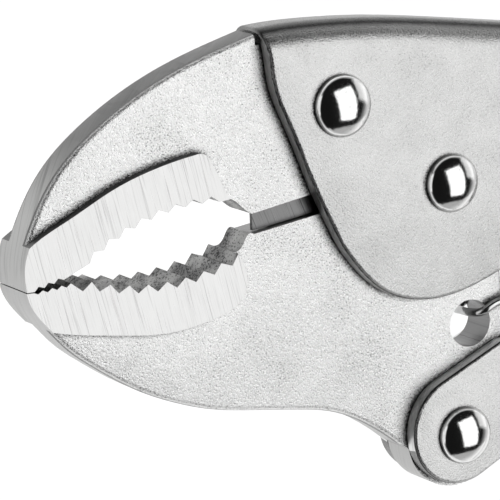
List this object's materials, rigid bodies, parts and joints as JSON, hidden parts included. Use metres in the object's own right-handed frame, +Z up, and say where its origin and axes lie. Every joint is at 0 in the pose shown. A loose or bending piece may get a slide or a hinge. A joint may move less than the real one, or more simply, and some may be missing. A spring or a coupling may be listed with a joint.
{
  "type": "locking pliers",
  "caption": "Curved-jaw locking pliers with toothed jaws, stamped channel handles, a toggle link, a release lever and a knurled adjusting screw.",
  "frame": {"origin": "under the middle of the whole tool, on the surface that it lies on", "axes": "+X along the tool towards the adjusting screw, +Y towards the fixed handle, +Z up through the tool's thickness"},
  "size_m": [0.2488, 0.0818, 0.0176],
  "materials": {
    "nickel_blasted": "shot-blasted forging, nickel plated, with ground tooth pads",
    "nickel_satin": "stamped steel, satin nickel plate",
    "nickel_polished": "bright nickel, polished domes",
    "spring_steel": "bright spring wire",
    "screw_nickel": "nickel plated turned steel"
  },
  "bodies": {
    "fixed_handle": {"upper_handle": "nickel_satin", "fixed_jaw": "nickel_blasted", "jaw_rivet": "nickel_polished", "pivot_rivet": "nickel_polished", "spring_pin": "nickel_polished", "tension_spring": "spring_steel"},
    "lower_jaw": {"moving_jaw": "nickel_blasted"},
    "lever": {"lever_handle": "nickel_satin", "lever_rivet": "nickel_polished", "link_rivet": "nickel_polished", "release_pin": "nickel_polished"},
    "link": {"toggle_link": "nickel_satin"},
    "release": {"release_lever": "nickel_satin"},
    "screw": {"adjusting_screw": "screw_nickel"},
    "knob": {"screw_knob": "screw_nickel"}
  },
  "joints": [
    {"name": "jaw_pivot", "type": "hinge", "parent": "fixed_handle", "child": "lower_jaw", "pos_m": [-0.04571, 0.01249, 0.0088], "axis": [0, 0, 1], "range_deg": [0, 18], "deforming": ["tension_spring"]},
    {"name": "lever_pivot", "type": "hinge", "parent": "lower_jaw", "child": "lever", "pos_m": [-0.04241, -0.03131, 0.0088], "axis": [0, 0, 1], "range_deg": [-45, 0]},
    {"name": "link_pivot", "type": "hinge", "parent": "lever", "child": "link", "pos_m": [-0.00571, -0.00981, 0.0088], "axis": [0, 0, 1], "range_deg": [0, 58]},
    {"name": "release_pivot", "type": "hinge", "parent": "lever", "child": "release", "pos_m": [0.04629, -0.01451, 0.0088], "axis": [0, 0, 1], "range_deg": [-6.5, 0]},
    {"name": "screw_slide", "type": "slide", "parent": "fixed_handle", "child": "screw", "axis": [0.9954, -0.0958, 0], "range_m": [0, 0.01]},
    {"name": "knob_turn", "type": "hinge", "parent": "screw", "child": "knob", "pos_m": [0.11197, 0.00878, 0.0088], "axis": [0.9954, -0.0958, 0], "range_deg": [0, 2881]}
  ],
  "couplings": [
    {"joint": "lever_pivot", "follows": "jaw_pivot", "ratio": -2.47},
    {"joint": "link_pivot", "follows": "jaw_pivot", "ratio": 3.19},
    {"joint": "knob_turn", "follows": "screw_slide", "rad_per_m": 5026.5}
  ]
}
